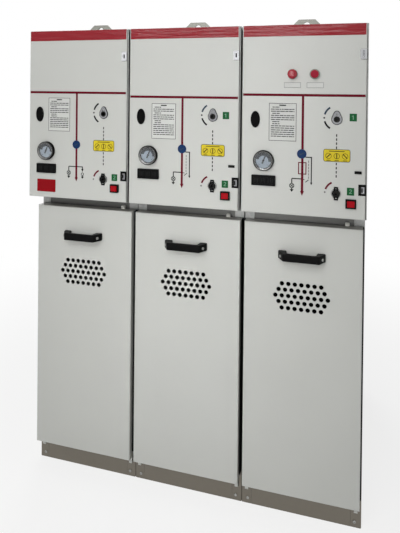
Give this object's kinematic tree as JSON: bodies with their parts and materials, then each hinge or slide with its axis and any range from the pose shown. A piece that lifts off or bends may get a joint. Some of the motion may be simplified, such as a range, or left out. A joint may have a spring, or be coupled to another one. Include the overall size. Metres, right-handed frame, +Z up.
{
  "type": "ring main unit",
  "caption": "Free-standing indoor medium-voltage ring main unit: sheet-steel cabinets side by side, control panels above, vented lift-off doors below.",
  "frame": {"origin": "middle of the overall footprint, on the floor", "axes": "+X to the right seen from the front, +Y from the front to the back, +Z up"},
  "size_m": [1.125, 0.918, 1.59],
  "materials": {
    "grey_paint": "semi-gloss powder coat",
    "galvanised_sheet": "dull galvanised",
    "zinc_plate": "bright zinc",
    "red_film": "glossy film",
    "black_rubber": "matte",
    "chrome_bezel": "polished",
    "dial_face": "matte enamel",
    "black_enamel": "matte enamel",
    "clear_glass": "clear",
    "black_plastic": "moulded",
    "blue_plastic": "moulded",
    "red_plastic": "moulded",
    "steel_shaft": "turned"
  },
  "bodies": {
    "carcass": {"bay_1_side_walls": "galvanised_sheet", "bay_1_front_panel": "grey_paint", "bay_2_side_walls": "galvanised_sheet", "bay_2_front_panel": "grey_paint", "bay_3_side_walls": "galvanised_sheet", "bay_3_front_panel": "grey_paint", "roof_panels": "galvanised_sheet", "back_covers": "galvanised_sheet", "kick_channels": "galvanised_sheet", "rear_channels": "galvanised_sheet", "cross_rails": "galvanised_sheet", "lifting_lugs": "zinc_plate", "header_strips": "red_film", "oval_windows": "black_rubber", "gauge_cases": "chrome_bezel", "gauge_dials": "dial_face", "gauge_needles": "black_enamel", "gauge_glasses": "clear_glass", "voltage_indicators": "black_plastic", "position_discs": "blue_plastic", "switch_bezels": "zinc_plate", "earth_bezels": "black_plastic", "push_frames": "black_plastic", "round_rings": "chrome_bezel", "pilot_lamp": "red_plastic", "panel_locks": "chrome_bezel", "key_slots": "black_plastic"},
    "door_1": {"door_1": "grey_paint", "handle_1": "black_plastic"},
    "switch_shaft_1": {"switch_shaft_1": "steel_shaft"},
    "earth_shaft_1": {"earth_shaft_1": "steel_shaft"},
    "push_button_1": {"push_button_1": "red_plastic"},
    "door_2": {"door_2": "grey_paint", "handle_2": "black_plastic"},
    "switch_shaft_2": {"switch_shaft_2": "steel_shaft"},
    "earth_shaft_2": {"earth_shaft_2": "steel_shaft"},
    "push_button_2": {"push_button_2": "red_plastic"},
    "door_3": {"door_3": "grey_paint", "handle_3": "black_plastic"},
    "switch_shaft_3": {"switch_shaft_3": "steel_shaft"},
    "earth_shaft_3": {"earth_shaft_3": "steel_shaft"},
    "push_button_3": {"push_button_3": "red_plastic"},
    "round_button": {"round_button": "red_plastic"}
  },
  "joints": [
    {"name": "door_1_lift", "type": "slide", "parent": "carcass", "child": "door_1", "axis": [0, 0, 1], "range_m": [0, 0.025]},
    {"name": "switch_shaft_1_turn", "type": "hinge", "parent": "carcass", "child": "switch_shaft_1", "pos_m": [-0.27499, -0.441, 1.26898], "axis": [0, 1, 0], "range_deg": [-60, 60]},
    {"name": "earth_shaft_1_turn", "type": "hinge", "parent": "carcass", "child": "earth_shaft_1", "pos_m": [-0.27499, -0.441, 1.05099], "axis": [0, 1, 0], "range_deg": [0, 75]},
    {"name": "push_button_1_press", "type": "slide", "parent": "carcass", "child": "push_button_1", "axis": [0, 1, 0], "range_m": [0, 0.003], "stiffness_N_per_m": 400},
    {"name": "door_2_lift", "type": "slide", "parent": "carcass", "child": "door_2", "axis": [0, 0, 1], "range_m": [0, 0.025]},
    {"name": "switch_shaft_2_turn", "type": "hinge", "parent": "carcass", "child": "switch_shaft_2", "pos_m": [0.10001, -0.441, 1.26898], "axis": [0, 1, 0], "range_deg": [-60, 60]},
    {"name": "earth_shaft_2_turn", "type": "hinge", "parent": "carcass", "child": "earth_shaft_2", "pos_m": [0.10001, -0.441, 1.05099], "axis": [0, 1, 0], "range_deg": [0, 75]},
    {"name": "push_button_2_press", "type": "slide", "parent": "carcass", "child": "push_button_2", "axis": [0, 1, 0], "range_m": [0, 0.003], "stiffness_N_per_m": 400},
    {"name": "door_3_lift", "type": "slide", "parent": "carcass", "child": "door_3", "axis": [0, 0, 1], "range_m": [0, 0.025]},
    {"name": "switch_shaft_3_turn", "type": "hinge", "parent": "carcass", "child": "switch_shaft_3", "pos_m": [0.47501, -0.441, 1.26898], "axis": [0, 1, 0], "range_deg": [-60, 60]},
    {"name": "earth_shaft_3_turn", "type": "hinge", "parent": "carcass", "child": "earth_shaft_3", "pos_m": [0.47501, -0.441, 1.05099], "axis": [0, 1, 0], "range_deg": [0, 75]},
    {"name": "push_button_3_press", "type": "slide", "parent": "carcass", "child": "push_button_3", "axis": [0, 1, 0], "range_m": [0, 0.003], "stiffness_N_per_m": 400},
    {"name": "round_button_press", "type": "slide", "parent": "carcass", "child": "round_button", "axis": [0, 1, 0], "range_m": [0, 0.0035], "stiffness_N_per_m": 400}
  ]
}
